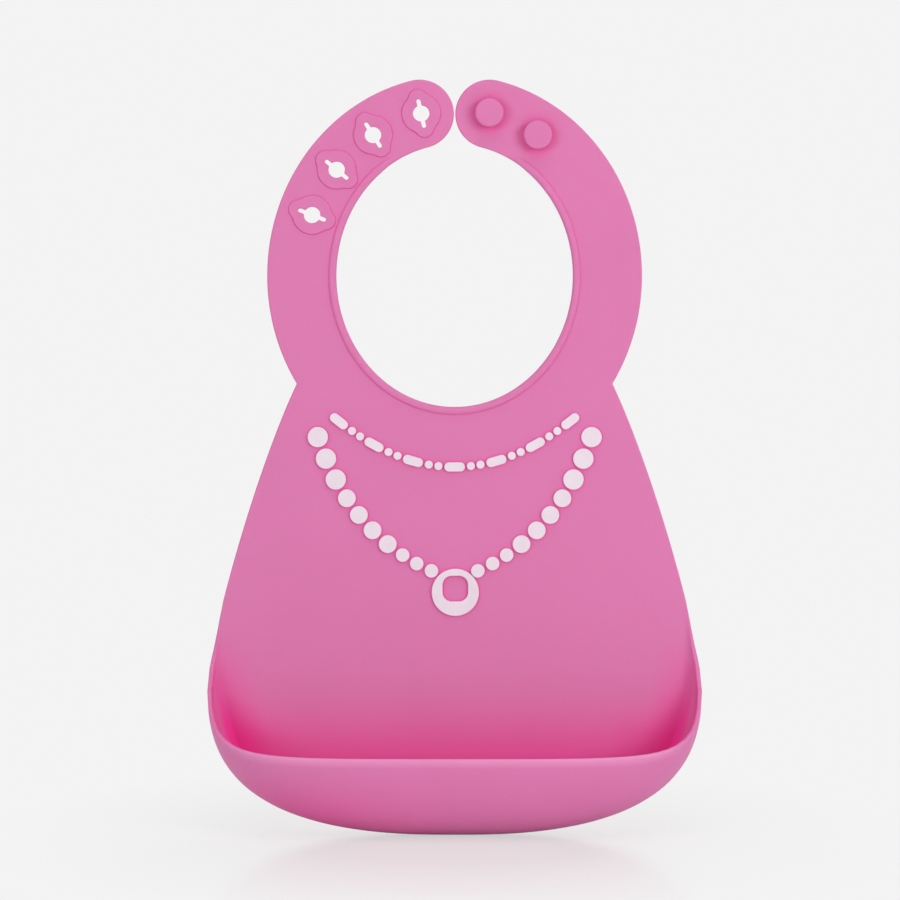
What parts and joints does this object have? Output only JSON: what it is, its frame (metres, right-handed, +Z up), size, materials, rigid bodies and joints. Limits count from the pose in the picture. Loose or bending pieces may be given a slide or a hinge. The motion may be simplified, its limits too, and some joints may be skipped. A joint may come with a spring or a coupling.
{
  "type": "silicone bib",
  "caption": "Pink silicone baby bib with a catch pocket, a buttoned neck band and a raised pale necklace.",
  "frame": {"origin": "middle of the neck opening, halfway through the sheet", "axes": "+X to the right seen from the front, +Y to the wearer's side (back), +Z up"},
  "size_m": [0.2156, 0.0519, 0.3261],
  "materials": {
    "silicone_pink": "matte",
    "silicone_pale": "matte"
  },
  "bodies": {
    "bib": {"front_panel": "silicone_pink", "neck_rim_front": "silicone_pink", "pocket_trough": "silicone_pink", "long_chain_left_1": "silicone_pale", "long_chain_left_10": "silicone_pale", "long_chain_left_2": "silicone_pale", "long_chain_left_3": "silicone_pale", "long_chain_left_4": "silicone_pale", "long_chain_left_5": "silicone_pale", "long_chain_left_6": "silicone_pale", "long_chain_left_7": "silicone_pale", "long_chain_left_8": "silicone_pale", "long_chain_left_9": "silicone_pale", "long_chain_right_1": "silicone_pale", "long_chain_right_10": "silicone_pale", "long_chain_right_2": "silicone_pale", "long_chain_right_3": "silicone_pale", "long_chain_right_4": "silicone_pale", "long_chain_right_5": "silicone_pale", "long_chain_right_6": "silicone_pale", "long_chain_right_7": "silicone_pale", "long_chain_right_8": "silicone_pale", "long_chain_right_9": "silicone_pale", "ring_pendant": "silicone_pale", "short_chain_bar_1": "silicone_pale", "short_chain_bar_2": "silicone_pale", "short_chain_bar_3": "silicone_pale", "short_chain_bar_4": "silicone_pale", "short_chain_bar_5": "silicone_pale", "short_chain_bar_6": "silicone_pale", "short_chain_bar_7": "silicone_pale", "short_chain_dot_1": "silicone_pale", "short_chain_dot_10": "silicone_pale", "short_chain_dot_11": "silicone_pale", "short_chain_dot_12": "silicone_pale", "short_chain_dot_2": "silicone_pale", "short_chain_dot_3": "silicone_pale", "short_chain_dot_4": "silicone_pale", "short_chain_dot_5": "silicone_pale", "short_chain_dot_6": "silicone_pale", "short_chain_dot_7": "silicone_pale", "short_chain_dot_8": "silicone_pale", "short_chain_dot_9": "silicone_pale"},
    "pocket_flap": {"pocket_front": "silicone_pink"},
    "left_arm": {"left_band_arm": "silicone_pink", "neck_rim_left_arm": "silicone_pink", "buttonhole_pad_4": "silicone_pink"},
    "left_tip": {"left_band_tip": "silicone_pink", "neck_rim_left_tip": "silicone_pink", "buttonhole_pad_1": "silicone_pink", "buttonhole_pad_2": "silicone_pink", "buttonhole_pad_3": "silicone_pink"},
    "right_arm": {"right_band_arm": "silicone_pink", "neck_rim_right_arm": "silicone_pink"},
    "right_tip": {"right_band_tip": "silicone_pink", "neck_rim_right_tip": "silicone_pink", "snap_button_1": "silicone_pink", "snap_button_2": "silicone_pink"}
  },
  "joints": [
    {"name": "left_arm_fold", "type": "hinge", "parent": "bib", "child": "left_arm", "pos_m": [-0.0667, 0, -0.022], "axis": [-1, 0, 0], "range_deg": [-20, 80], "stiffness_Nm_per_rad": 0.03},
    {"name": "left_tip_fold", "type": "hinge", "parent": "left_arm", "child": "left_tip", "pos_m": [-0.05776, 0, 0.0362], "axis": [-0.866, 0, 0.5], "range_deg": [-25, 95], "stiffness_Nm_per_rad": 0.02},
    {"name": "right_arm_fold", "type": "hinge", "parent": "bib", "child": "right_arm", "pos_m": [0.0667, 0, -0.022], "axis": [-1, 0, 0], "range_deg": [-20, 80], "stiffness_Nm_per_rad": 0.03},
    {"name": "right_tip_fold", "type": "hinge", "parent": "right_arm", "child": "right_tip", "pos_m": [0.05776, 0, 0.0362], "axis": [-0.866, 0, -0.5], "range_deg": [-25, 95], "stiffness_Nm_per_rad": 0.02},
    {"name": "pocket_front_flex", "type": "hinge", "parent": "bib", "child": "pocket_flap", "pos_m": [0, -0.04289, -0.226], "axis": [-1, 0, 0], "range_deg": [-15, 25], "stiffness_Nm_per_rad": 0.05}
  ]
}
